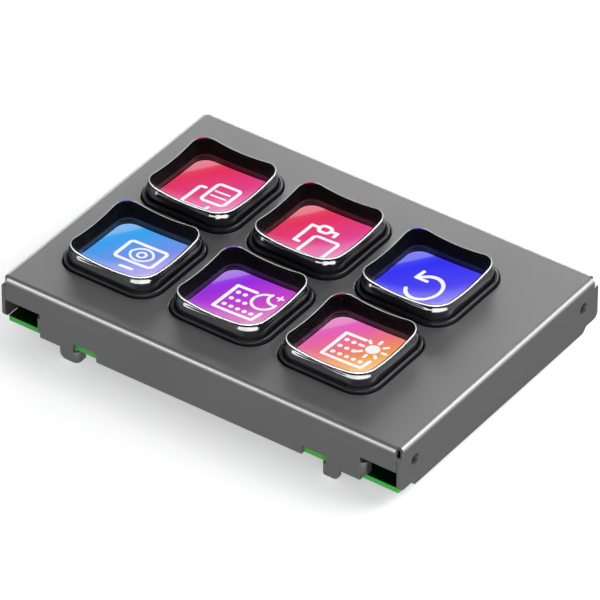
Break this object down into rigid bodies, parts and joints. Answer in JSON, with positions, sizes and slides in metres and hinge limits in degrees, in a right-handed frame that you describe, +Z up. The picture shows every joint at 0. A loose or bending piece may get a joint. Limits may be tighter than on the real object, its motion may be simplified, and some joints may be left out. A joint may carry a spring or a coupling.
{
  "type": "display keypad module",
  "caption": "Built-in keypad: dished clear keys in two rows over one colour display, in a folded steel tray with tabs, a green board and a cable socket at the rear.",
  "frame": {"origin": "middle of the surface that the four tabs stand on", "axes": "+X along the side with three keys, to the viewer's right; +Y from the front flange to the rear flange; +Z up out of the keys"},
  "size_m": [0.084, 0.06, 0.0156],
  "materials": {
    "cover_steel": "satin",
    "black_moulding": "satin",
    "shell_black": "gloss",
    "clear_lens": "clear gloss",
    "soft_boot": "matte",
    "black_board": "matte",
    "grey_foam": "matte",
    "display_glass": "lit colour picture",
    "light_guide": "satin white",
    "bright_steel": "satin",
    "grey_moulding": "satin",
    "zinc_steel": "plated",
    "black_steel": "blackened",
    "green_board": "solder mask gloss",
    "amber_film": "satin",
    "socket_plastic": "matte",
    "chip_black": "matte",
    "tinned_metal": "bright",
    "coil_grey": "matte",
    "ceramic_tan": "satin"
  },
  "bodies": {
    "chassis": {"top_cover": "cover_steel", "guide_frame": "black_moulding", "return_boot_1": "soft_boot", "return_boot_2": "soft_boot", "return_boot_3": "soft_boot", "return_boot_4": "soft_boot", "return_boot_5": "soft_boot", "return_boot_6": "soft_boot", "contact_board": "black_board", "display_gasket": "grey_foam", "display_glass": "display_glass", "light_guide": "light_guide", "display_tray": "bright_steel", "display_carrier": "grey_moulding", "clinch_posts": "zinc_steel", "board_spacers": "zinc_steel", "board_screws": "black_steel", "main_board": "green_board", "display_ribbon": "amber_film", "contact_ribbon": "amber_film", "display_ribbon_socket": "socket_plastic", "contact_ribbon_socket": "socket_plastic", "socket_shell": "bright_steel", "socket_tongue": "socket_plastic", "controller_chip": "chip_black", "memory_chip": "chip_black", "regulator_chip": "chip_black", "chip_leads": "tinned_metal", "crystal_can": "bright_steel", "power_coil": "coil_grey", "capacitor_bodies": "ceramic_tan", "capacitor_ends": "tinned_metal"},
    "key_1": {"key_shell_1": "shell_black", "key_lens_1": "clear_lens"},
    "key_2": {"key_shell_2": "shell_black", "key_lens_2": "clear_lens"},
    "key_3": {"key_shell_3": "shell_black", "key_lens_3": "clear_lens"},
    "key_4": {"key_shell_4": "shell_black", "key_lens_4": "clear_lens"},
    "key_5": {"key_shell_5": "shell_black", "key_lens_5": "clear_lens"},
    "key_6": {"key_shell_6": "shell_black", "key_lens_6": "clear_lens"}
  },
  "joints": [
    {"name": "key_1_press", "type": "slide", "parent": "chassis", "child": "key_1", "axis": [0, 0, -1], "range_m": [0, 0.0009], "stiffness_N_per_m": 500, "springref_m": -0.0004, "deforming": ["return_boot_1"]},
    {"name": "key_2_press", "type": "slide", "parent": "chassis", "child": "key_2", "axis": [0, 0, -1], "range_m": [0, 0.0009], "stiffness_N_per_m": 500, "springref_m": -0.0004, "deforming": ["return_boot_2"]},
    {"name": "key_3_press", "type": "slide", "parent": "chassis", "child": "key_3", "axis": [0, 0, -1], "range_m": [0, 0.0009], "stiffness_N_per_m": 500, "springref_m": -0.0004, "deforming": ["return_boot_3"]},
    {"name": "key_4_press", "type": "slide", "parent": "chassis", "child": "key_4", "axis": [0, 0, -1], "range_m": [0, 0.0009], "stiffness_N_per_m": 500, "springref_m": -0.0004, "deforming": ["return_boot_4"]},
    {"name": "key_5_press", "type": "slide", "parent": "chassis", "child": "key_5", "axis": [0, 0, -1], "range_m": [0, 0.0009], "stiffness_N_per_m": 500, "springref_m": -0.0004, "deforming": ["return_boot_5"]},
    {"name": "key_6_press", "type": "slide", "parent": "chassis", "child": "key_6", "axis": [0, 0, -1], "range_m": [0, 0.0009], "stiffness_N_per_m": 500, "springref_m": -0.0004, "deforming": ["return_boot_6"]}
  ]
}
